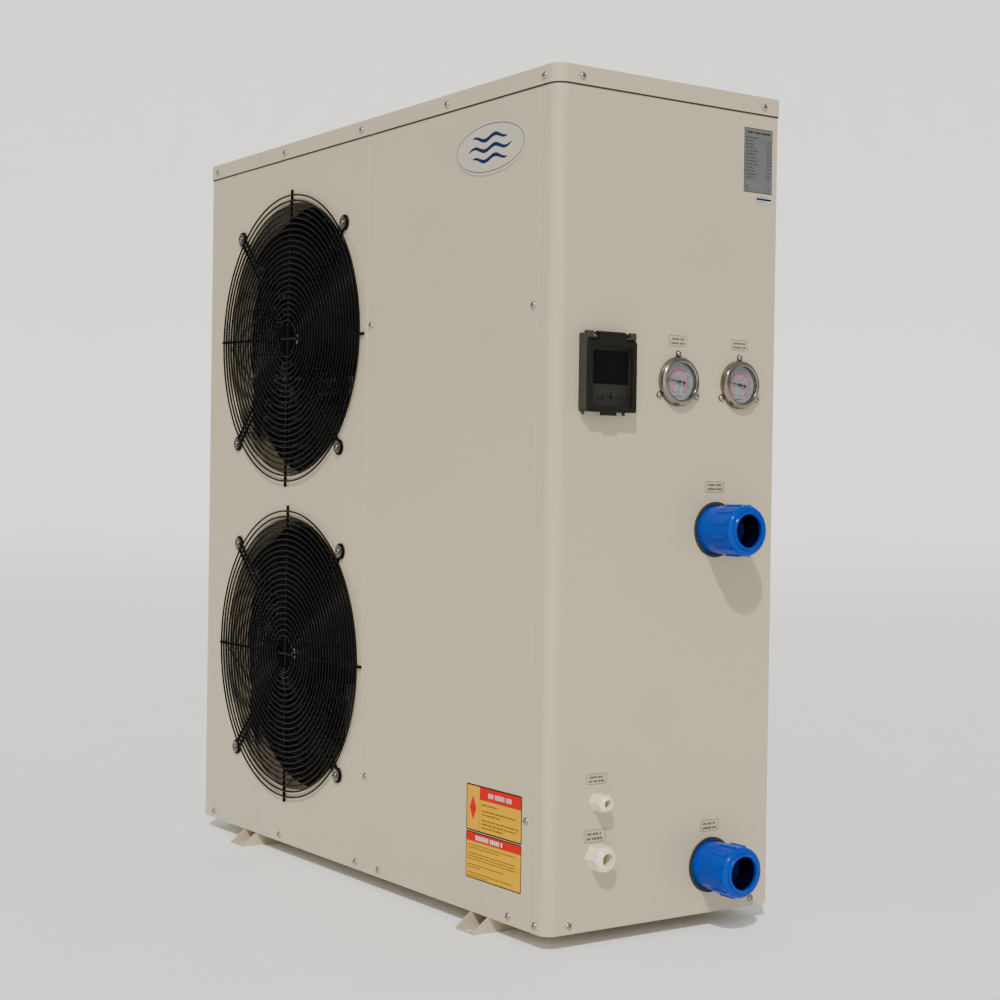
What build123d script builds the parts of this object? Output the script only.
from build123d import *
from math import atan2, cos, degrees, pi, radians, sin, sqrt
import os

os.makedirs("parts", exist_ok=True)

# Side-blowing pool heat pump. Millimetres, +Z up, the fans blow towards -Y, the service side is +X.
# The origin is on the ground, at the centre of the four anchor holes in the foot rails.

# ---- Cabinet --------------------------------------------------------------------------------
BODY_W = 1115.0          # left panel to right panel
BODY_D = 423.0           # front panel to rear guard
BODY_H = 1244.0          # lower edge of the panels to the top of the lid
FOOT_H = 23.5            # ground to the lower edge of the panels
BODY_X = -13.0           # centre of the cabinet, seen from the centre of the anchor holes
SHEET = 1.2
CORNER_R = 19.0          # the front right corner; the other corners are folded sharp
EDGE_R = 3.0
BEND_R = 2.0             # small bend at a seam
SEAM_GAP = 1.2
LID_SKIRT = 27.0
LID_OVERHANG = 1.8
RETURN = 12.0            # inward flange at each seam

LEFT = BODY_X - BODY_W / 2
RIGHT = BODY_X + BODY_W / 2
FRONT = -BODY_D / 2
BACK = BODY_D / 2
BOTTOM = FOOT_H
TOP = BOTTOM + BODY_H
PANEL_TOP = TOP - SHEET - 2.0
MIDDLE_SEAM = BODY_X + 36.0
CORNER_SEAM = BODY_X + 517.5
REAR_SEAM = RIGHT - 46.0
COIL_END = BODY_X + 30.0
PARTITION_X = BODY_X + 46.0

# ---- Foot rails -----------------------------------------------------------------------------
RAIL_W = 47.0
RAIL_T = 2.0
RAIL_SPACING = 754.0     # centre to centre
RAIL_REACH = 27.8        # past the panels, at the front and at the rear
ANCHOR_Y = FRONT - 19.0
ANCHOR_R = 5.5
PAN_Z = BOTTOM + 3.0     # underside of the base pan

# ---- Fans -----------------------------------------------------------------------------------
FANS = {"upper": (BODY_X - 237.0, BOTTOM + 896.0, 1.4), "lower": (BODY_X - 231.5, BOTTOM + 337.0, 0.0)}
MOUTH_R = 240.0
MOUTH_DEPTH = 46.0
MOUTH_BEND = 6.0
FAN_R = 227.0
HUB_R = 56.0
BLADES = 4
FAN_FRONT = FRONT + 14.0
FAN_BACK = FRONT + 74.0
SHAFT_R = 6.0
MOTOR_R = 56.0
MOTOR_FRONT = FRONT + 84.0
MOTOR_BACK = FRONT + 176.0

# ---- Fan guards -----------------------------------------------------------------------------
RING_MIN = 33.0
RING_MAX = 253.0
RING_PITCH = 10.0
RING_WIRE = 1.55
ROD_WIRE = 2.4
ROD_GAP = 0.1            # between the rods and the front panel
ROD_Y = FRONT - ROD_GAP - ROD_WIRE
RING_LIFT = RING_WIRE + ROD_WIRE - 1.2    # the rings are sunk into the rods by their resistance welds
ROD_TIP = 263.0
EAR_R = 267.5            # screw circle
STAY_HALF = 6.0          # half the spacing of a hairpin's two legs
EYE_R = 11.5             # the eye that each hairpin forms round its screw
WASHER_R = 10.5
WASHER_T = 1.5

# ---- Service side ---------------------------------------------------------------------------
CASE_Y = (-167.5, -77.5)
CASE_Z = (BOTTOM + 750.0, BOTTOM + 858.0)
CASE_DEPTH = 18.0
KEY_COLUMNS = (-149.1, -140.3, -131.5, -103.5, -94.7, -85.9)
KEY_Z = BOTTOM + 771.8
HINGE_X = RIGHT + 15.5
HINGE_Z = BOTTOM + 862.0
PIN_R = 1.6
KNUCKLE_R = 3.5
KEY_R = 3.0
DISPLAY_Y = (-150.0, -85.5)
DISPLAY_Z = (BOTTOM + 790.0, BOTTOM + 839.0)
COVER_LUG = (-148.0, -97.0)
LATCH_Y = (-140.0, -114.5)
GAUGES = {"left": (17.0, BOTTOM + 800.0), "right": (138.0, BOTTOM + 800.0)}
NEEDLE_REST = 9.0        # degrees above the horizontal
GAUGE_FACE = 28.4
GAUGE_EAR = 41.6         # screw circle of the three ears
EAR_ANGLES = (90, 210, 330)
UNION_Y = 95.0
UNIONS = {"upper": BOTTOM + 580.0, "lower": BOTTOM + 72.5}
UNION_REACH = 77.0
UNION_BORE = 25.1
SOCKET_DEPTH = 31.0
GLANDS = {
    "small": (-123.5, BOTTOM + 187.0, 6.2, 24.0, 28.0),    # y, z, bore radius, width across flats, reach
    "large": (-123.5, BOTTOM + 106.8, 9.65, 35.0, 30.0),
}
LABEL_T = 0.3

# ---- Inner parts ----------------------------------------------------------------------------
COIL_T = 42.0
COIL_GAP = 16.0
COMPRESSORS = ((BODY_X + 165.0, -70.0), (BODY_X + 335.0, -95.0))
ACCUMULATORS = ((BODY_X + 165.0, 32.0), (BODY_X + 238.0, -150.0))
COMPRESSOR_R = 62.0
COMPRESSOR_H = 290.0
EXCHANGER = (BODY_X + 405.0, UNION_Y)
EXCHANGER_R = 88.0
GUARD_Z = BOTTOM + 34.0  # coil guards
GUARD_H = BODY_H - 34.0 - LID_SKIRT - 8.0
GUARD_WIRE = 1.6
FLOOR = PAN_Z + 1.5
COIL_Y = BACK - COIL_GAP - COIL_T / 2
VALVE_Z = 446.0
STUB_TOP = 30.0
PIPE_R = 8.0
LIQUID_R = 5.0
SHELL_TOP = 660.0
PARTITION_HOLES = (600.0, 780.0, 120.0, 165.0)
BOX_X = (BODY_X + 78.0, BODY_X + 496.0)
BOX_Y = (FRONT + 16.0, FRONT + 108.0)
BOX_Z = (BOTTOM + 806.0, BOTTOM + 1176.0)

# ---- Fasteners ------------------------------------------------------------------------------
HEAD_R = 5.3
HEAD_H = 3.2
SHANK_R = 2.0
SHANK = 7.0
FACES = {"front": (0, -1, 0), "back": (0, 1, 0), "right": (1, 0, 0), "left": (-1, 0, 0)}


def save(name, *shapes):
    """Writes one sub-part; several shapes make a group of separate solids."""
    solids = [solid for shape in shapes for solid in shape.solids()]
    part = solids[0] if len(solids) == 1 else Compound(children=solids)
    part.label = name
    export_step(part, f"parts/{name}.step")


def block(x, y, z):
    """A box from its lowest and highest coordinate along each axis."""
    box = Box(x[1] - x[0], y[1] - y[0], z[1] - z[0])
    return Pos((x[0] + x[1]) / 2, (y[0] + y[1]) / 2, (z[0] + z[1]) / 2) * box


def rod(start, end, radius):
    """A round bar between two points."""
    axis = Vector(*end) - Vector(*start)
    plane = Plane(origin=start, z_dir=axis)
    return extrude(plane * Circle(radius), axis.length)


def along_x(y, z, radius, x0, x1):
    return rod((x0, y, z), (x1, y, z), radius)


def along_y(x, z, radius, y0, y1):
    return rod((x, y0, z), (x, y1, z), radius)


def along_z(x, y, radius, z0, z1):
    return rod((x, y, z0), (x, y, z1), radius)


def turned_x(points, y, z, x0):
    """A solid turned about an axis along X; points are (distance from x0, radius)."""
    face = Plane.XY * make_face(Polyline(*points, close=True))
    return Pos(x0, y, z) * revolve(face, Axis.X)


def turned_z(points, x, y, z0):
    """A solid turned about a vertical axis; points are (radius, height above z0)."""
    face = Plane.XZ * make_face(Polyline(*points, close=True))
    return Pos(x, y, z0) * revolve(face, Axis.Z)


def faceted_ring(radius, wire, sides):
    """A closed ring about +Z whose section is a regular polygon of the same area as the round wire."""
    corner = wire * sqrt(2 * pi / sides / sin(2 * pi / sides))
    section = Pos(radius, 0) * Rot(0, 0, 180 / sides) * RegularPolygon(corner, sides)
    return revolve(Plane.XZ * section, Axis.Z)


def shifted(points, distance):
    """The polyline moved sideways, to the left of its direction."""
    lines = []
    for a, b in zip(points, points[1:]):
        length = sqrt((b[0] - a[0]) ** 2 + (b[1] - a[1]) ** 2)
        normal = (-(b[1] - a[1]) / length * distance, (b[0] - a[0]) / length * distance)
        lines.append(((a[0] + normal[0], a[1] + normal[1]), (b[0] + normal[0], b[1] + normal[1])))
    moved = [lines[0][0]]
    for (p, q), (r, s) in zip(lines, lines[1:]):
        d1 = (q[0] - p[0], q[1] - p[1])
        d2 = (s[0] - r[0], s[1] - r[1])
        cross = d1[0] * d2[1] - d1[1] * d2[0]
        t = ((r[0] - p[0]) * d2[1] - (r[1] - p[1]) * d2[0]) / cross
        moved.append((p[0] + t * d1[0], p[1] + t * d1[1]))
    moved.append(lines[-1][1])
    return moved


def bent_sheet(points, radii, z, thickness=SHEET):
    """A sheet bent along an outer line; the sheet lies to the left of the line."""
    inner_points = shifted(points, thickness)
    inner_radii = []
    for a, b, c, radius in zip(points, points[1:], points[2:], radii):
        turn = (b[0] - a[0]) * (c[1] - b[1]) - (b[1] - a[1]) * (c[0] - b[0])
        inner_radii.append(radius - thickness if turn > 0 else radius + thickness)
    outer = FilletPolyline(*points, radius=list(radii))
    inner = FilletPolyline(*inner_points, radius=inner_radii)
    ends = [Line(points[0], inner_points[0]), Line(points[-1], inner_points[-1])]
    face = make_face([*outer.edges(), *inner.edges(), *ends])
    return Pos(0, 0, z[0]) * extrude(face, z[1] - z[0], dir=(0, 0, 1))


# ---- Cabinet --------------------------------------------------------------------------------

def foot_rail(x):
    reach = BACK + RAIL_REACH
    top_reach = BACK + 1.0
    low = BOTTOM - 0.3
    inside_y = BACK - SHEET - 1.0
    half = [(reach, 0), (reach, 3.5), (top_reach, low), (inside_y, low), (inside_y, PAN_Z)]
    outline = half + [(-y, z) for y, z in reversed(half)]
    solid = extrude(Plane.YZ * make_face(Polyline(*outline, close=True)), RAIL_W / 2, both=True)
    inside = block((-RAIL_W / 2 + RAIL_T, RAIL_W / 2 - RAIL_T), (-reach - 1, reach + 1), (RAIL_T, PAN_Z + 1))
    solid -= inside
    for side in (-1, 1):
        solid -= along_z(0, side * -ANCHOR_Y, ANCHOR_R, -1, RAIL_T + 1)
    return Pos(x, 0, 0) * solid


def base_pan():
    gap = SHEET + 0.4
    x = (LEFT + gap, RIGHT - gap)
    y = (FRONT + gap, BACK - gap)
    plan = Pos((x[0] + x[1]) / 2, 0) * RectangleRounded(x[1] - x[0], y[1] - y[0], CORNER_R - gap)
    pan = Pos(0, 0, PAN_Z) * extrude(plan, 24.0)
    inside = RectangleRounded(x[1] - x[0] - 3, y[1] - y[0] - 3, CORNER_R - gap - 1.5)
    pan -= Pos((x[0] + x[1]) / 2, 0, PAN_Z + 1.5) * extrude(inside, 24.0)
    pan -= along_z(BODY_X - 300.0, 120.0, 9.0, PAN_Z - 1, PAN_Z + 3)
    for seam in (MIDDLE_SEAM, CORNER_SEAM):
        pan -= block((seam - 4, seam + 4), (FRONT, FRONT + RETURN + 1), (PAN_Z - 1, PAN_Z + 25))
    for seam in (REAR_SEAM, COIL_END + 8.0):
        pan -= block((seam - 4, seam + 4), (BACK - RETURN - 1, BACK), (PAN_Z - 1, PAN_Z + 25))
    return pan


def cabinet_plan(margin):
    """The cabinet seen from above, grown by a margin, with its wide corner at the front right."""
    plan = Rectangle(BODY_W + 2 * margin, BODY_D + 2 * margin)
    corners = plan.vertices().sort_by(lambda corner: corner.X - corner.Y)
    plan = fillet(corners[-1:], CORNER_R + margin)
    sharp = [v for v in plan.vertices() if min(v.distance_to(c) for c in corners[:-1]) < 0.01]
    return fillet(sharp, EDGE_R + margin)


def top_lid():
    lid = extrude(cabinet_plan(LID_OVERHANG), LID_SKIRT)
    lid = fillet(lid.faces().sort_by(Axis.Z)[-1].edges(), 3.0)
    inner = extrude(cabinet_plan(LID_OVERHANG - SHEET), LID_SKIRT - SHEET)
    inner = fillet(inner.faces().sort_by(Axis.Z)[-1].edges(), 1.8)
    return Pos(BODY_X, 0, TOP - LID_SKIRT) * (lid - inner)


def air_mouth(x, z):
    """The formed orifice of one fan, with the round bend where it leaves the panel."""
    outer = MOUTH_R + MOUTH_BEND
    start = (outer, 0)
    profile = [
        Line((outer + 6, 0), start),
        RadiusArc(start, (MOUTH_R, MOUTH_BEND), MOUTH_BEND),
        Line((MOUTH_R, MOUTH_BEND), (MOUTH_R, MOUTH_DEPTH)),
        Line((MOUTH_R, MOUTH_DEPTH), (MOUTH_R + SHEET, MOUTH_DEPTH)),
        Line((MOUTH_R + SHEET, MOUTH_DEPTH), (MOUTH_R + SHEET, MOUTH_BEND)),
        RadiusArc((MOUTH_R + SHEET, MOUTH_BEND), (outer, SHEET), SHEET - MOUTH_BEND),
        Line((outer, SHEET), (outer + 6, SHEET)),
        Line((outer + 6, SHEET), (outer + 6, 0)),
    ]
    ring = revolve(make_face(profile), Axis.Y)
    return Pos(x, FRONT, z) * ring


def fan_panel():
    seam = MIDDLE_SEAM - SEAM_GAP / 2
    line = [(LEFT, FRONT + 42), (LEFT, FRONT), (seam, FRONT), (seam, FRONT + RETURN)]
    panel = bent_sheet(line, (EDGE_R, BEND_R), (BOTTOM, PANEL_TOP))
    for x, z, _ in FANS.values():
        panel -= along_y(x, z, MOUTH_R + MOUTH_BEND + 5.5, FRONT - 1, FRONT + SHEET + 1)
        panel += air_mouth(x, z)
    return panel


def service_front_panel():
    x0 = MIDDLE_SEAM + SEAM_GAP / 2
    x1 = CORNER_SEAM - SEAM_GAP / 2
    line = [(x0, FRONT + RETURN), (x0, FRONT), (x1, FRONT), (x1, FRONT + RETURN)]
    return bent_sheet(line, (BEND_R, BEND_R), (BOTTOM, PANEL_TOP))


def side_panel():
    x0 = CORNER_SEAM + SEAM_GAP / 2
    x1 = REAR_SEAM + SEAM_GAP / 2
    line = [(x0, FRONT + RETURN), (x0, FRONT), (RIGHT, FRONT), (RIGHT, BACK), (x1, BACK), (x1, BACK - RETURN)]
    panel = bent_sheet(line, (BEND_R, CORNER_R, EDGE_R, BEND_R), (BOTTOM, PANEL_TOP))
    cut = (RIGHT - 5, RIGHT + 5)
    for z in UNIONS.values():
        panel -= along_x(UNION_Y, z, 38.5, *cut)
    for y, z in GAUGES.values():
        panel -= along_x(y, z, 31.0, *cut)
    for y, z, bore, _, _ in GLANDS.values():
        panel -= along_x(y, z, bore + 2.3, *cut)
    middle = sum(CASE_Y) / 2
    panel -= along_x(middle, sum(CASE_Z) / 2, 8.0, *cut)
    return panel


def rear_panel():
    x0 = REAR_SEAM - SEAM_GAP / 2
    x1 = COIL_END + 8.0
    line = [(x0, BACK - RETURN), (x0, BACK), (x1, BACK), (x1, BACK - RETURN)]
    panel = bent_sheet(line, (BEND_R, BEND_R), (BOTTOM, PANEL_TOP))
    middle = (x0 + x1) / 2
    for row in range(8):
        z = TOP - 140.0 - row * 18.0
        slot = Pos(middle, BACK, z) * Rot(90, 0, 0) * SlotOverall(120, 6)
        panel -= extrude(slot, 5, both=True)
    return panel


def corner_post():
    reach = 26.0
    line = [(LEFT + reach, BACK), (LEFT, BACK), (LEFT, BACK - reach)]
    return bent_sheet(line, (EDGE_R,), (BOTTOM, PANEL_TOP))


def partition_panel():
    y0 = FRONT + RETURN + 2.0
    y1 = BACK - COIL_GAP
    line = [(PARTITION_X + 18, y0), (PARTITION_X, y0), (PARTITION_X, y1), (PARTITION_X + 18, y1)]
    top = PANEL_TOP - 2.0
    floor = PAN_Z + 1.5
    return bent_sheet(line[::-1], (BEND_R, BEND_R), (floor, top))


def wire_grid(width, height, pitch, wire):
    """A welded wire panel in the XZ plane, standing on its origin: a frame wire and two crossed layers."""
    columns = round(width / pitch)
    rows = round(height / pitch)
    grid = []
    for i in range(columns + 1):
        x = -width / 2 + i * width / columns
        grid.append(along_z(x, 0, wire, 0, height))
    for j in range(rows + 1):
        z = j * height / rows
        grid.append(rod((-width / 2 - wire, 1.7 * wire, z), (width / 2 + wire, 1.7 * wire, z), wire))
    return grid[0].fuse(*grid[1:])


def coil_guard_rear():
    x0 = LEFT + 28.0
    x1 = COIL_END + 2.0
    grid = wire_grid(x1 - x0, GUARD_H, 47.0, GUARD_WIRE)
    return Pos((x0 + x1) / 2, BACK - 2.8 * GUARD_WIRE, GUARD_Z) * grid


def coil_guard_left():
    y0 = FRONT + 46.0
    y1 = BACK - 28.0
    grid = wire_grid(y1 - y0, GUARD_H, 47.0, GUARD_WIRE)
    return Pos(LEFT + 2.8 * GUARD_WIRE, (y0 + y1) / 2, GUARD_Z) * Rot(0, 0, 90) * grid


# ---- Fans -----------------------------------------------------------------------------------

def bent_rod(points, radius, bend, seam=None):
    """A round bar or pipe along straight runs joined by arcs; seam is the side its surface seam faces."""
    path = FilletPolyline(*points, radius=bend)
    start = Plane(origin=path @ 0, x_dir=seam, z_dir=path % 0)
    return sweep(start * Circle(radius), path=path)


def cross_bar(direction):
    """One straight bar across the rings, with its surface seam away from them."""
    start = Vector(*direction) * -ROD_TIP
    return extrude(Plane(origin=start, x_dir=(0, 0, -1), z_dir=direction) * Circle(ROD_WIRE), 2 * ROD_TIP)


def guard_stay(angle):
    """One diagonal hairpin, which opens past the last ring into an eye round its screw."""
    leg = STAY_HALF
    eye = EYE_R
    tip = EAR_R + eye
    points = [(RING_MIN - 8, -leg, 0), (EAR_R - 9, -leg, 0), (EAR_R - 4, -eye, 0), (tip, -eye, 0)]
    points += [(x, -y, z) for x, y, z in reversed(points)]
    bends = [4, 4, eye - 0.1]
    return Rot(0, 0, angle) * bent_rod(points, ROD_WIRE, bends + bends[::-1], (0, 0, -1))


def fan_guard(x, z, tilt):
    """The rings, two cross bars and four hairpin stays, welded into one piece."""
    rings = round((RING_MAX - RING_MIN) / RING_PITCH) + 1
    lift = Pos(0, 0, RING_LIFT)
    pieces = [lift * faceted_ring(RING_MIN + i * RING_PITCH, RING_WIRE, 8) for i in range(rings)]
    pieces.append(cross_bar((1, 0, 0)))
    guard = cross_bar((0, 1, 0)).fuse(*pieces)
    guard = guard.fuse(*[guard_stay(angle) for angle in (45, 135, 225, 315)])
    return Pos(x, ROD_Y, z) * Rot(0, tilt, 0) * Rot(90, 0, 0) * guard


def ear_points(x, z, tilt):
    """Where the four guard screws of one fan stand on the front panel."""
    angles = [radians(45 + 90 * i - tilt) for i in range(4)]
    return [(x + EAR_R * cos(a), z + EAR_R * sin(a)) for a in angles]


def blade():
    """One wide swept blade: thin curved sections that turn and lean forward towards the tip."""
    stations = (             # radius, lead in degrees, chord, pitch in degrees
        (44.0, 0.0, 78.0, 40.0),
        (105.0, 7.0, 118.0, 26.0),
        (165.0, 18.0, 160.0, 19.0),
        (240.0, 34.0, 205.0, 15.0),
    )
    faces = []
    for radius, lead, chord, pitch in stations:
        a = radians(lead)
        out = Vector(cos(a), sin(a), 0)
        across = Vector(-sin(a), cos(a), 0)
        plane = Plane(origin=out * radius + Vector(0, 0, 30), x_dir=across, z_dir=out)
        camber = chord * 0.07
        half = chord / 2
        thick = 3.0
        lower = ThreePointArc((-half, 0), (0, camber), (half, 0))
        upper = ThreePointArc((-half, thick), (0, camber + thick), (half, thick))
        ends = [Line((-half, 0), (-half, thick)), Line((half, 0), (half, thick))]
        profile = make_face([lower, ends[1], upper, ends[0]])
        faces.append(plane * Rot(0, 0, pitch) * profile)
    whole = loft(faces)
    return whole & Pos(0, 0, 30) * Cylinder(FAN_R, 80)


def fan(x, z):
    depth = FAN_BACK - FAN_FRONT
    cup = [(SHAFT_R, 2), (14, 2), (14, 46), (HUB_R - 3, 46), (HUB_R - 3, 2)]
    cup += [(HUB_R, 2), (HUB_R, 44), (HUB_R - 7, 51), (16, 53), (SHAFT_R, 53)]
    hub = turned_z(cup, 0, 0, 0)
    core = Pos(0, 0, 30) * Cylinder(HUB_R - 1.5, 80)
    single = blade() - core
    wheel = hub.fuse(*[Rot(0, 0, 360 / BLADES * i) * single for i in range(BLADES)])
    return Pos(x, FAN_BACK, z) * Rot(90, 0, 0) * wheel


def fan_shaft(x, z):
    bar = along_y(x, z, SHAFT_R, FAN_BACK - 58.0, MOTOR_FRONT + 60.0)
    nut = Pos(x, FAN_BACK - 53.0, z) * Rot(90, 0, 0) * extrude(RegularPolygon(9.5, 6), 7.0)
    return bar + nut


def fan_motor(x, z):
    length = MOTOR_BACK - MOTOR_FRONT
    bore = SHAFT_R + 0.06
    points = [(bore, 0), (16, 0), (16, 8), (MOTOR_R - 8, 10), (MOTOR_R, 18), (MOTOR_R, length - 8)]
    points += [(MOTOR_R - 6, length), (0, length), (0, 62), (bore, 62)]
    body = turned_z(points, 0, 0, 0)
    for i in range(12):
        fin = block((MOTOR_R - 1, MOTOR_R + 4), (-1.2, 1.2), (22, length - 14))
        body += Rot(0, 0, 30 * i) * fin
    return Pos(x, MOTOR_FRONT, z) * Rot(-90, 0, 0) * body


def motor_bracket():
    """Two upright channels with a cross plate behind each motor."""
    middle = (FANS["upper"][0] + FANS["lower"][0]) / 2
    y0 = MOTOR_BACK
    floor = PAN_Z + 1.5
    pieces = []
    for side in (-1, 1):
        x = middle + side * 82.0
        rail = block((x - 16, x + 16), (y0 + 2, y0 + 24), (floor, PANEL_TOP - 4))
        rail -= block((x - 14.4, x + 14.4), (y0 + 3.6, y0 + 25), (floor - 1, PANEL_TOP))
        pieces.append(rail)
    for x, z, _ in FANS.values():
        pieces.append(block((middle - 98, middle + 98), (y0, y0 + 2), (z - 62, z + 62)))
    return pieces[0].fuse(*pieces[1:])


# ---- Refrigerant side -----------------------------------------------------------------------

def evaporator_coil():
    """L-shaped finned block: a leg along the left side and one along the rear."""
    x0 = LEFT + COIL_GAP
    y0 = FRONT + 52.0
    y1 = BACK - COIL_GAP
    bend = COIL_T + 22.0
    line = [(COIL_END, y1), (x0, y1), (x0, y0)]
    return bent_sheet(line, (bend,), (FLOOR, TOP - 34.0), COIL_T)


def compressor(x, y):
    r = COMPRESSOR_R
    h = COMPRESSOR_H
    z = FLOOR + 16.0
    shell = [(0, 0), (r - 16, 0), (r - 4, 5), (r, 16), (r, h - 26), (r - 6, h - 12), (r - 24, h - 2)]
    shell += [(6.5, h), (6.5, h + 14), (0, h + 14)]
    body = turned_z(shell, x, y, z)
    for i in range(3):
        angle = 90 + 120 * i
        foot = Pos(x, y, z) * Rot(0, 0, angle) * block((r - 20, r + 18), (-14, 14), (0, 3.5))
        bolt = Pos(x, y, z) * Rot(0, 0, angle) * along_z(r + 8, 0, 5.0, -1, 5)
        body += foot - bolt
    cover = Pos(x, y, z + h - 10) * block((10, 40), (-18, 18), (0, 34))
    return body + cover


def grommet(x, y, angle):
    reach = COMPRESSOR_R + 8
    a = radians(angle)
    points = [(0, 0), (11, 0), (9, 8), (11, 15.9), (4.7, 16), (4.7, 20), (7.5, 20), (7.5, 22), (0, 22)]
    return turned_z(points, x + reach * cos(a), y + reach * sin(a), FLOOR)


def accumulator(x, y, compressor_x, compressor_y):
    """A domed can whose outlet bends round to the side of its compressor."""
    body = [(0, 0), (18, 2), (28, 14), (28, 200), (18, 214), (7, 217), (7, 232), (0, 232)]
    can = turned_z(body, x, y, 100.0)
    gap = sqrt((compressor_x - x) ** 2 + (compressor_y - y) ** 2)
    reach = gap - COMPRESSOR_R + 0.4
    turn = degrees(atan2(compressor_y - y, compressor_x - x))
    bend = bent_rod([(0, 0, 104), (0, 0, 78), (reach - 1.5, 0, 78)], 6.0, 16.0)
    return can + Pos(x, y, 0) * Rot(0, 0, turn) * bend


def four_way_valve(x, y):
    body = along_x(y, VALVE_Z, 14.0, x - 48, x + 48)
    for shift in (-32, 0, 32):
        body += along_z(x + shift, y, PIPE_R, VALVE_Z, VALVE_Z + STUB_TOP)
    body += along_z(x, y, 6.5, VALVE_Z - STUB_TOP, VALVE_Z)
    body += along_x(y - 22, VALVE_Z + 4, 7.0, x - 30, x + 30)
    body += block((x - 14, x + 14), (y - 46, y - 20), (VALVE_Z - 10, VALVE_Z + 18))
    return body


def discharge_pipe(x, y):
    base = FLOOR + 16.0 + COMPRESSOR_H + 14.0
    top = VALVE_Z - STUB_TOP
    muffler = base + 16.0
    pipe = along_z(x, y, 6.5, base, top)
    length = top - muffler
    return pipe + turned_z([(0, 0), (12, 6), (12, length - 22), (0, length - 16)], x, y, muffler)


def suction_pipe(x, y, can_x, can_y):
    start = VALVE_Z + STUB_TOP
    over = 512.0
    return bent_rod([(x, y, start), (x, y, over), (can_x, can_y, over), (can_x, can_y, 332.0)], 7.0, 20.0)


def coil_pipes():
    """The lines from the valves to the exchanger and to the coil, and the liquid lines back."""
    x1 = COMPRESSORS[0][0]
    start = VALVE_Z + STUB_TOP
    top = SHELL_TOP + 20.0
    ex, ey = EXCHANGER
    end = COIL_END
    lines = []
    for (x, y), shift, over in zip(COMPRESSORS, (-30, 30), (720, 756)):
        points = [(x + 32, y, start), (x + 32, y, over)]
        points += [(ex + shift, ey - 30, over), (ex + shift, ey - 30, top)]
        lines.append(bent_rod(points, PIPE_R, 18))
    for (x, y), over in zip(COMPRESSORS, (600, 780)):
        points = [(x - 32, y, start), (x - 32, y, over), (x1 - 32, COIL_Y, over), (end, COIL_Y, over)]
        lines.append(bent_rod(points, PIPE_R, 24))
    for shift, over, low, down in ((-30, 706, 120.0, 232.0), (30, 736, 165.0, 262.0)):
        x = BODY_X + down
        points = [(ex + shift, ey + 30, top), (ex + shift, ey + 30, over), (x, ey + 30, over)]
        points += [(x, ey + 30, low), (x - 90, COIL_Y, low), (end, COIL_Y, low)]
        lines.append(bent_rod(points, LIQUID_R, 12))
    return lines


def heat_exchanger_shell():
    """The PVC vessel that holds the titanium coils, with a water nozzle at the top and one below."""
    ex, ey = EXCHANGER
    h = SHELL_TOP - FLOOR
    r = EXCHANGER_R
    outer = [(0, 0), (r + 6, 0), (r + 6, 14), (r, 16), (r, h - 40), (r + 9, h - 38)]
    outer += [(r + 9, h - 4), (r + 4, h), (0, h)]
    inner = [(0, 12), (r - 7, 12), (r - 7, h - 16), (0, h - 16)]
    shell = turned_z(outer, ex, ey, FLOOR)
    for z in UNIONS.values():
        shell += along_x(ey, z, 27.0, ex + r - 12, ex + r + 14)
    shell -= turned_z(inner, ex, ey, FLOOR)
    for z in UNIONS.values():
        shell -= along_x(ey, z, 21.0, ex + r - 20, ex + r + 15)
    for shift_x in (-30, 30):
        for shift_y in (-30, 30):
            radius = PIPE_R if shift_y < 0 else LIQUID_R
            shell -= along_z(ex + shift_x, ey + shift_y, radius, SHELL_TOP - 20, SHELL_TOP + 1)
    return shell


def titanium_coils():
    """Two nested windings, drawn as stacked turns, with their four tails through the cap."""
    ex, ey = EXCHANGER
    pieces = []
    for radius, tube in ((68.0, 7.5), (46.0, 7.5)):
        for i in range(18):
            pieces.append(Pos(ex, ey, 110.0 + i * 26.0) * faceted_ring(radius, tube, 10))
    for shift_x in (-30, 30):
        for shift_y in (-30, 30):
            radius = PIPE_R if shift_y < 0 else LIQUID_R
            pieces.append(along_z(ex + shift_x, ey + shift_y, radius, SHELL_TOP - 30, SHELL_TOP + 20))
    return pieces


def water_pipes():
    x0 = EXCHANGER[0] + EXCHANGER_R + 14.0
    x1 = RIGHT - 28.0
    pipes = []
    for z in UNIONS.values():
        pipes.append(along_x(UNION_Y, z, 26.0, x0, x1) - along_x(UNION_Y, z, 21.0, x0 - 1, x1 + 1))
    return pipes


def flow_switch():
    x = (EXCHANGER[0] + EXCHANGER_R + 14.0 + RIGHT - 28.0) / 2
    base = UNIONS["upper"] + 26.0
    stem = along_z(x, UNION_Y, 7.0, base, base + 16)
    return stem + block((x - 11, x + 11), (UNION_Y - 16, UNION_Y + 16), (base + 14, base + 52))


# ---- Electrical parts -----------------------------------------------------------------------

def electrical_box():
    (x0, x1), (y0, y1), (z0, z1) = BOX_X, BOX_Y, BOX_Z
    inside = block((x0 + SHEET, x1 - SHEET), (y0 - 1, y1 - SHEET), (z0 + SHEET, z1 - SHEET))
    return block(BOX_X, BOX_Y, BOX_Z) - inside


def contactor(x):
    back = BOX_Y[1] - SHEET
    z = BOX_Z[0] + 60.0
    body = block((x - 24, x + 24), (back - 62, back), (z, z + 74))
    body -= block((x - 20, x + 20), (back - 63, back - 50), (z - 1, z + 16))
    body -= block((x - 20, x + 20), (back - 63, back - 50), (z + 58, z + 75))
    return body


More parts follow.
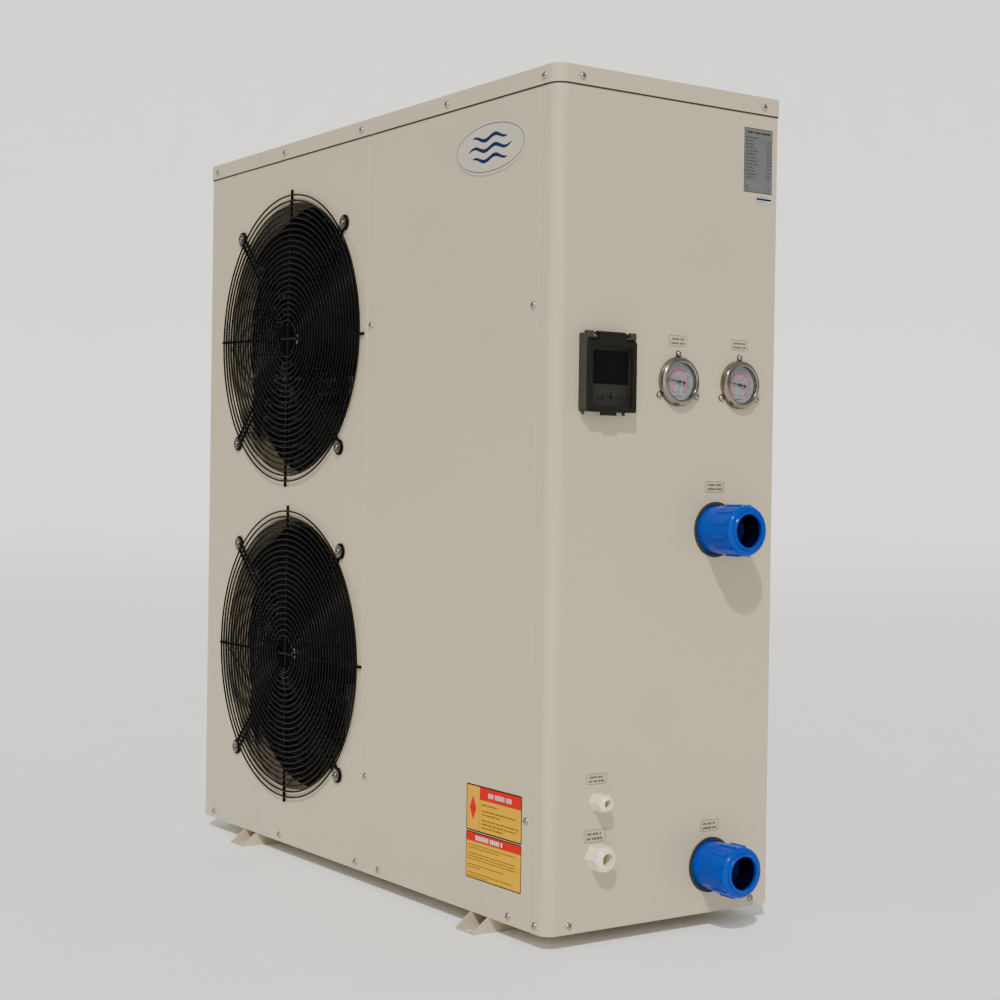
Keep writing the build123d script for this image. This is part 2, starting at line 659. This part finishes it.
def control_board():
    back = BOX_Y[1] - SHEET
    x0 = BOX_X[0] + 30.0
    z0 = BOX_Z[0] + 170.0
    board = block((x0, x0 + 240), (back - 12, back - 10.4), (z0, z0 + 160))
    for x in (x0 + 8, x0 + 232):
        for z in (z0 + 8, z0 + 152):
            board += along_y(x, z, 3.5, back - 10.5, back)
    for i in range(5):
        board += block((x0 + 20 + i * 40, x0 + 46 + i * 40), (back - 28, back - 12), (z0 + 14, z0 + 34))
    return board


# ---- Service side fittings ------------------------------------------------------------------

def controller_case():
    """The weatherproof box: rim, recessed face with a window well and key holes, hinge lugs, latch."""
    y0, y1 = CASE_Y
    z0, z1 = CASE_Z
    depth = CASE_DEPTH
    case = block((RIGHT, RIGHT + depth), (y0, y1), (z0, z1))
    case = fillet(case.edges().filter_by(Axis.X), 4.0)
    wall = 3.2
    case -= block((RIGHT + 11.0, RIGHT + depth + 1), (y0 + wall, y1 - wall), (z0 + wall, z1 - wall))
    case -= block((RIGHT + 2.0, RIGHT + 8.5), (y0 + wall, y1 - wall), (z0 + wall, z1 - wall))
    case -= block((RIGHT + 9.0, RIGHT + 12), DISPLAY_Y, DISPLAY_Z)
    for y in KEY_COLUMNS:
        case -= along_x(y, KEY_Z, KEY_R + 0.3, RIGHT + 8, RIGHT + 12)
    for lug in ((y0, y0 + 12.5), (y1 - 10.5, y1)):
        body = block((RIGHT, HINGE_X), lug, (z1 - 4, HINGE_Z))
        body += along_y(HINGE_X, HINGE_Z, KNUCKLE_R, *lug)
        body += block((HINGE_X - 0.1, HINGE_X + 3.5), lug, (z1 - 2, HINGE_Z))
        case += body
    case -= along_y(HINGE_X, HINGE_Z, PIN_R, y0 - 1, y1 + 1)
    for y in (y0 + 3.5, y0 + 77.5):
        case += along_z(RIGHT + 6.0, y, 2.4, z0 - 4.5, z0 + 1)
    return case


def controller_cover():
    """The clear flap: a plate with a raised border, a wide hinge knuckle and a latch tab."""
    y0, y1 = CASE_Y
    z0, z1 = CASE_Z
    x0 = RIGHT + CASE_DEPTH + 0.4
    top = z1 - 6.0
    flap = block((x0, x0 + 3.4), (y0 + 1, y1 - 1), (z0 - 0.5, top))
    flap = fillet(flap.edges().filter_by(Axis.X), 4.0)
    flap -= block((x0 + 2.2, x0 + 4), (y0 + 9, y1 - 9), (z0 + 8, top - 8))
    flap += block((x0, x0 + 3.4), COVER_LUG, (top - 3, HINGE_Z + 1.0))
    flap += block((HINGE_X + 1.0, x0 + 3.4), COVER_LUG, (z1 + 0.5, HINGE_Z + 1.0))
    flap += along_y(HINGE_X, HINGE_Z, KNUCKLE_R, *COVER_LUG)
    flap -= along_y(HINGE_X, HINGE_Z, PIN_R + 0.06, COVER_LUG[0] - 1, COVER_LUG[1] + 1)
    latch = block((x0 - 3.0, x0 + 3.4), LATCH_Y, (z0 - 5.5, z0 - 0.6))
    return flap + latch


def cover_hinge_pin():
    return along_y(HINGE_X, HINGE_Z, PIN_R, CASE_Y[0] + 0.5, CASE_Y[1] - 0.5)


def display_window():
    return block((RIGHT + 9.0, RIGHT + 10.8), DISPLAY_Y, DISPLAY_Z)


def key(y):
    cap = along_x(y, KEY_Z, KEY_R, RIGHT + 7.5, RIGHT + 13.2)
    flange = along_x(y, KEY_Z, KEY_R + 1.0, RIGHT + 6.6, RIGHT + 8.1)
    cap = fillet(cap.edges().sort_by(Axis.X)[-1:], 0.7)
    return cap + flange


def gauge_case(y, z):
    """A stainless can with its rolled bezel and three screw ears; the stem leaves at the back."""
    back = 34.0
    front = [
        Line((-back, 0), (-back, 29.6)),
        Line((-back, 29.6), (0, 29.6)),
        Line((0, 29.6), (0, 37.0)),
        Line((0, 37.0), (3.0, 37.0)),
        ThreePointArc((3.0, 37.0), (9.4, 34.4), (11.6, 30.8)),
        ThreePointArc((11.6, 30.8), (11.2, 28.6), (9.2, 27.5)),
        Line((9.2, 27.5), (8.4, 27.5)),
        Line((8.4, 27.5), (8.4, GAUGE_FACE)),
        Line((8.4, GAUGE_FACE), (1.0 - back, GAUGE_FACE)),
        Line((1.0 - back, GAUGE_FACE), (1.0 - back, 0)),
        Line((1.0 - back, 0), (-back, 0)),
    ]
    case = revolve(make_face(front), Axis.X)
    case += along_x(0, 0, 6.5, -back - 18.0, -back + 0.5)
    for angle in EAR_ANGLES:
        a = radians(angle)
        ear = along_x(GAUGE_EAR * cos(a), GAUGE_EAR * sin(a), 4.8, 0, 1.6)
        ear += Rot(angle, 0, 0) * block((0, 1.6), (34.0, GAUGE_EAR), (-4.6, 4.6))
        case += ear
    for angle in EAR_ANGLES:
        a = radians(angle)
        case -= along_x(GAUGE_EAR * cos(a), GAUGE_EAR * sin(a), 2.2, -1, 3)
    return Pos(RIGHT, y, z) * case


def gauge_dial(y, z):
    return along_x(y, z, GAUGE_FACE, RIGHT + 1.2, RIGHT + 1.9) - along_x(y, z, 1.5, RIGHT, RIGHT + 3)


def gauge_lens(y, z):
    return along_x(y, z, GAUGE_FACE, RIGHT + 6.8, RIGHT + 8.4)


def gauge_needle(y, z):
    """A tapered pointer with a counterweight, on a spindle through the dial."""
    outline = [(-9.5, -0.9), (0, -1.4), (23.5, -0.35), (23.5, 0.35), (0, 1.4), (-9.5, 0.9)]
    blade_face = Plane.YZ * make_face(Polyline(*outline, close=True))
    pointer = extrude(blade_face, 0.7)
    pointer += along_x(-9.5, 0, 2.3, 0, 0.7)
    pointer += along_x(0, 0, 2.6, -0.6, 1.3)
    pointer += along_x(0, 0, 1.2, -6.0, 0.1)
    return Pos(RIGHT + 4.2, y, z) * Rot(180 - NEEDLE_REST, 0, 0) * pointer


def union_body(z):
    """The fixed half: spigot to the inner pipe, plain collar through the panel, threaded neck."""
    points = [(-28, 21), (-28, 30), (-12, 30), (-12, 36.3), (34, 36.3), (34, 31), (42, 31), (42, 21)]
    return turned_x(points, UNION_Y, z, RIGHT)


def union_tail(z):
    """The socket that the pool pipe is glued into, held by its flange."""
    end = UNION_REACH
    stop = end - SOCKET_DEPTH
    points = [(42, 21), (42, 31), (47, 31), (47, 29.5), (end - 1, 29.5), (end, 28.5), (end, UNION_BORE),
              (stop, UNION_BORE), (stop, 21)]
    return turned_x(points, UNION_Y, z, RIGHT)


def union_nut(z):
    end = UNION_REACH - 1.5
    profile = [
        Line((34.5, 31.4), (34.5, 36.8)),
        Line((34.5, 36.8), (35.7, 38.0)),
        Line((35.7, 38.0), (end - 6.5, 38.0)),
        ThreePointArc((end - 6.5, 38.0), (end - 1.9, 36.1), (end, 31.5)),
        Line((end, 31.5), (end, 29.9)),
        Line((end, 29.9), (47.4, 29.9)),
        Line((47.4, 29.9), (47.4, 31.4)),
        Line((47.4, 31.4), (34.5, 31.4)),
    ]
    nut = revolve(make_face(profile), Axis.X)
    ribs = []
    for i in range(12):
        a = radians(30 * i + 15)
        ribs.append(along_x(37.4 * cos(a), 37.4 * sin(a), 2.8, 37.0, end - 9.0))
    nut = nut.fuse(*ribs)
    nut -= turned_x([(30, 0), (30, 29.9), (80, 29.9), (80, 0)], 0, 0, 0)
    return Pos(RIGHT, UNION_Y, z) * nut


def hexagon_x(y, z, flats, x0, x1):
    """A hexagonal bar along X between two distances from the side panel."""
    bar = extrude(Plane.YZ * RegularPolygon(flats / sqrt(3), 6), x1 - x0)
    return Pos(RIGHT + x0, y, z) * bar


def gland_neck(bore):
    return bore + 2.6


def gland_body(y, z, bore, flats, reach):
    neck = gland_neck(bore)
    hexagon = hexagon_x(y, z, flats + 1.0, 0, 5.5)
    chamfer = [(0, 0), (0, flats * 0.59), (4, flats * 0.59), (5.5, flats * 0.5), (5.5, 0)]
    body = hexagon & turned_x(chamfer, y, z, RIGHT)
    barrel = [(-15, 0), (-15, bore + 1.9), (0.5, bore + 1.9), (0.5, neck), (19, neck), (19, 0)]
    body += turned_x(barrel, y, z, RIGHT)
    return body - along_x(y, z, bore, RIGHT - 16, RIGHT + 20)


def gland_cap(y, z, bore, flats, reach):
    """A domed hexagonal cap, open at its mouth."""
    tip = bore + 2.4
    wide = flats * 0.575
    profile = [
        Line((5.9, 0), (5.9, wide)),
        Line((5.9, wide), (reach - 12.5, wide)),
        ThreePointArc((reach - 12.5, wide), (reach - 5.0, (wide + tip) / 2 + 1.5), (reach - 1.0, tip + 0.8)),
        Line((reach - 1.0, tip + 0.8), (reach, tip)),
        Line((reach, tip), (reach, 0)),
        Line((reach, 0), (5.9, 0)),
    ]
    dome = Pos(RIGHT, y, z) * revolve(make_face(profile), Axis.X)
    cap = dome & hexagon_x(y, z, flats, 5.9, reach)
    cap -= along_x(y, z, gland_neck(bore) + 0.35, RIGHT + 5, RIGHT + 19.4)
    return cap - along_x(y, z, bore + 0.35, RIGHT + 5, RIGHT + reach + 1)


# ---- Plates and labels ----------------------------------------------------------------------

def front_plate(x, z):
    return block((BODY_X + x[0], BODY_X + x[1]), (FRONT - LABEL_T, FRONT), (BOTTOM + z[0], BOTTOM + z[1]))


def side_plate(y, z):
    return block((RIGHT, RIGHT + LABEL_T), y, (BOTTOM + z[0], BOTTOM + z[1]))


def label_plates():
    plates = [front_plate((351, 496), (122.0, 192.4)), front_plate((351, 496), (50.4, 121.0))]
    plates.append(side_plate((141.6, 199.3), (1095.5, 1194.0)))
    plates.append(side_plate((166.0, 200.0), (1081.0, 1092.5)))
    plates.append(side_plate((-1.0, 34.0), (852.0, 869.0)))
    plates.append(side_plate((121.0, 156.0), (852.0, 869.0)))
    plates.append(side_plate((74.0, 112.0), (636.0, 653.0)))
    plates.append(side_plate((74.0, 112.0), (123.0, 141.0)))
    plates.append(side_plate((-143.0, -105.0), (212.0, 228.0)))
    plates.append(side_plate((-146.0, -106.0), (128.0, 147.0)))
    return plates


def badge():
    """A thin domed oval plate on the front service panel."""
    oval = Plane.XZ * Ellipse(94, 40)
    plate = extrude(oval, 1.6)
    plate = fillet(plate.faces().sort_by(Axis.Y)[0].edges(), 1.1)
    return Pos(BODY_X + 390, FRONT, BOTTOM + 1145) * plate


# ---- Fasteners ------------------------------------------------------------------------------

def pan_head(radius, height, shank):
    """A pan-head screw along +Z, seated at z = 0, with a cross recess."""
    dome = [
        Line((0, -shank), (SHANK_R, -shank)),
        Line((SHANK_R, -shank), (SHANK_R, 0)),
        Line((SHANK_R, 0), (radius, 0)),
        Line((radius, 0), (radius, height * 0.3)),
        ThreePointArc((radius, height * 0.3), (radius * 0.72, height * 0.86), (0, height)),
        Line((0, height), (0, -shank)),
    ]
    screw = revolve(Plane.XZ * make_face(dome), Axis.Z)
    slot = radius * 0.62
    for x, y in ((slot, 0.55), (0.55, slot)):
        screw -= block((-x, x), (-y, y), (height * 0.45, height + 1))
    return screw


def on_face(face, across, z, out=0.0):
    """The place and direction of a fastener on one side of the cabinet."""
    normal = Vector(*FACES[face])
    spots = {"front": (across, FRONT - out, z), "back": (across, BACK + out, z),
             "right": (RIGHT + out, across, z), "left": (LEFT - out, across, z)}
    return Plane(origin=spots[face], z_dir=normal)


def lid_screws():
    z = BOTTOM + 1228.0
    spots = []
    for x in (-531.0, -261.0, 10.0, 271.0, 528.0):
        spots.append(on_face("front", BODY_X + x, z, LID_OVERHANG))
    for x in (-535.0, -261.0, 10.0, 271.0, 528.0):
        spots.append(on_face("back", BODY_X + x, z, LID_OVERHANG))
    for y in (-169.0, 180.0):
        spots.append(on_face("right", y, z, LID_OVERHANG))
    for y in (-186.0, 189.0):
        spots.append(on_face("left", y, z, LID_OVERHANG))
    return spots


def foot_screws():
    z = BOTTOM + 12.0
    spots = []
    for x in (-517.0, -251.5, 19.0, 92.6, 463.4, 529.6):
        spots.append(on_face("front", BODY_X + x, z))
    for x in (92.6, 463.4, 529.6, -535.0):
        spots.append(on_face("back", BODY_X + x, z))
    for y in (-171.0, 178.0):
        spots.append(on_face("right", y, z))
    for y in (-186.0, 189.0):
        spots.append(on_face("left", y, z))
    return spots


def panel_edge_screws():
    """Screws at the edges of the two removable service panels."""
    spots = []
    for z in (158.4, 902.0):
        for x in (46.5, 505.5):
            spots.append(on_face("front", BODY_X + x, BOTTOM + z))
        for x in (52.0, 498.0):
            spots.append(on_face("back", BODY_X + x, BOTTOM + z))
    return spots


def gauge_screw_spots():
    spots = []
    for y, z in GAUGES.values():
        for angle in EAR_ANGLES:
            a = radians(angle)
            spots.append(on_face("right", y + GAUGE_EAR * cos(a), z + GAUGE_EAR * sin(a), 1.6))
    return spots


def guard_screw_spots():
    spots = []
    for x, z, tilt in FANS.values():
        for ex, ez in ear_points(x, z, tilt):
            spots.append(on_face("front", ex, ez, ROD_GAP + 2 * ROD_WIRE + WASHER_T))
    return spots


def washer():
    return extrude(Circle(WASHER_R) - Circle(SHANK_R + 0.2), WASHER_T)


def drilled(part, spots, depth):
    """The part with a clearance hole at each of these screws."""
    holes = [spot * Pos(0, 0, -depth / 2 + 2) * Cylinder(SHANK_R + 0.25, depth + 4) for spot in spots]
    for hole in holes:
        part -= hole
    return part


def near(spots, x=(-9e3, 9e3), y=(-9e3, 9e3), z=(-9e3, 9e3)):
    """The screws that stand inside this range."""
    chosen = []
    for spot in spots:
        o = spot.origin
        if x[0] < o.X < x[1] and y[0] < o.Y < y[1] and z[0] < o.Z < z[1]:
            chosen.append(spot)
    return chosen


def save_cabinet():
    lid = lid_screws()
    foot = foot_screws()
    edge = panel_edge_screws()
    gauge = gauge_screw_spots()
    guard = guard_screw_spots()
    front = (FRONT - 15, FRONT + 2)
    back = (BACK - 2, BACK + 9)
    left_part = (LEFT - 9, MIDDLE_SEAM)
    middle_part = (MIDDLE_SEAM, CORNER_SEAM)
    save("foot_rails", *[foot_rail(side * RAIL_SPACING / 2) for side in (-1, 1)])
    save("base_pan", drilled(base_pan(), foot, 12))
    save("top_lid", drilled(top_lid(), lid, 8))
    all_spots = lid + foot + edge
    fan_spots = near(all_spots, x=left_part, y=front)
    fan_spots += near(all_spots, x=(LEFT - 9, LEFT + 5), y=(FRONT, FRONT + 42))
    save("fan_panel", drilled(drilled(fan_panel(), fan_spots, 8), guard, 12))
    save("service_front_panel", drilled(service_front_panel(), near(all_spots, x=middle_part, y=front), 8))
    side_spots = near(all_spots, x=(CORNER_SEAM, RIGHT + 9), y=front)
    side_spots += near(all_spots, x=(RIGHT - 1, RIGHT + 9))
    side_spots += near(all_spots, x=(REAR_SEAM, RIGHT + 9), y=back)
    save("side_panel", drilled(side_panel(), side_spots + gauge, 9))
    save("rear_panel", drilled(rear_panel(), near(all_spots, x=(COIL_END + 8, REAR_SEAM), y=back), 8))
    post_spots = near(all_spots, x=(LEFT - 9, LEFT + 40), y=back)
    post_spots += near(all_spots, x=(LEFT - 9, LEFT + 5), y=(BACK - 34, BACK))
    save("corner_post", drilled(corner_post(), post_spots, 8))
    partition = partition_panel()
    for z in PARTITION_HOLES:
        partition -= along_x(COIL_Y, z, 11.0, PARTITION_X - 5, PARTITION_X + 5)
    save("partition_panel", partition)
    save("coil_guard_rear", coil_guard_rear())
    save("coil_guard_left", coil_guard_left())
    screw = pan_head(HEAD_R, HEAD_H, SHANK)
    small = pan_head(4.2, 3.2, 6.0)
    save("panel_screws", *[spot * screw for spot in all_spots], *[spot * small for spot in gauge])
    long_screw = pan_head(4.8, 3.4, 11.0)
    washers = [spot * Pos(0, 0, -WASHER_T) * washer() for spot in guard]
    save("guard_screws", *[spot * long_screw for spot in guard], *washers)


def save_fans():
    for name, (x, z, tilt) in FANS.items():
        save(f"fan_guard_{name}", fan_guard(x, z, tilt))
        save(f"fan_{name}", fan(x, z))
        save(f"fan_shaft_{name}", fan_shaft(x, z))
    save("fan_motors", *[fan_motor(x, z) for x, z, _ in FANS.values()])
    save("motor_bracket", motor_bracket())


def save_circuits():
    pairs = list(zip(COMPRESSORS, ACCUMULATORS))
    save("evaporator_coil", evaporator_coil())
    save("compressors", *[compressor(*place) for place in COMPRESSORS])
    save("compressor_grommets", *[grommet(x, y, 90 + 120 * i) for x, y in COMPRESSORS for i in range(3)])
    save("accumulators", *[accumulator(*can, *body) for body, can in pairs])
    save("four_way_valves", *[four_way_valve(*place) for place in COMPRESSORS])
    save("discharge_pipes", *[discharge_pipe(*place) for place in COMPRESSORS])
    save("suction_pipes", *[suction_pipe(*body, *can) for body, can in pairs])
    save("coil_pipes", *coil_pipes())
    save("heat_exchanger_shell", heat_exchanger_shell())
    save("titanium_coils", *titanium_coils())
    save("water_pipes", *water_pipes())
    save("flow_switch", flow_switch())


def save_electrics():
    save("electrical_box", electrical_box())
    save("contactors", *[contactor(BOX_X[0] + shift) for shift in (80.0, 150.0)])
    save("control_board", control_board())


def save_fittings():
    save("controller_case", controller_case())
    save("controller_cover", controller_cover())
    save("cover_hinge_pin", cover_hinge_pin())
    save("display_window", display_window())
    for number, y in enumerate(KEY_COLUMNS, 1):
        save(f"key_{number}", key(y))
    save("gauge_cases", *[gauge_case(*place) for place in GAUGES.values()])
    save("gauge_dials", *[gauge_dial(*place) for place in GAUGES.values()])
    save("gauge_lenses", *[gauge_lens(*place) for place in GAUGES.values()])
    for name, place in GAUGES.items():
        save(f"gauge_needle_{name}", gauge_needle(*place))
    save("union_bodies", *[union_body(z) for z in UNIONS.values()])
    save("union_tails", *[union_tail(z) for z in UNIONS.values()])
    for name, z in UNIONS.items():
        save(f"union_nut_{name}", union_nut(z))
    save("gland_bodies", *[gland_body(*gland) for gland in GLANDS.values()])
    for name, gland in GLANDS.items():
        save(f"gland_cap_{name}", gland_cap(*gland))
    save("label_plates", *label_plates())
    save("badge", badge())


save_cabinet()
save_fans()
save_circuits()
save_electrics()
save_fittings()
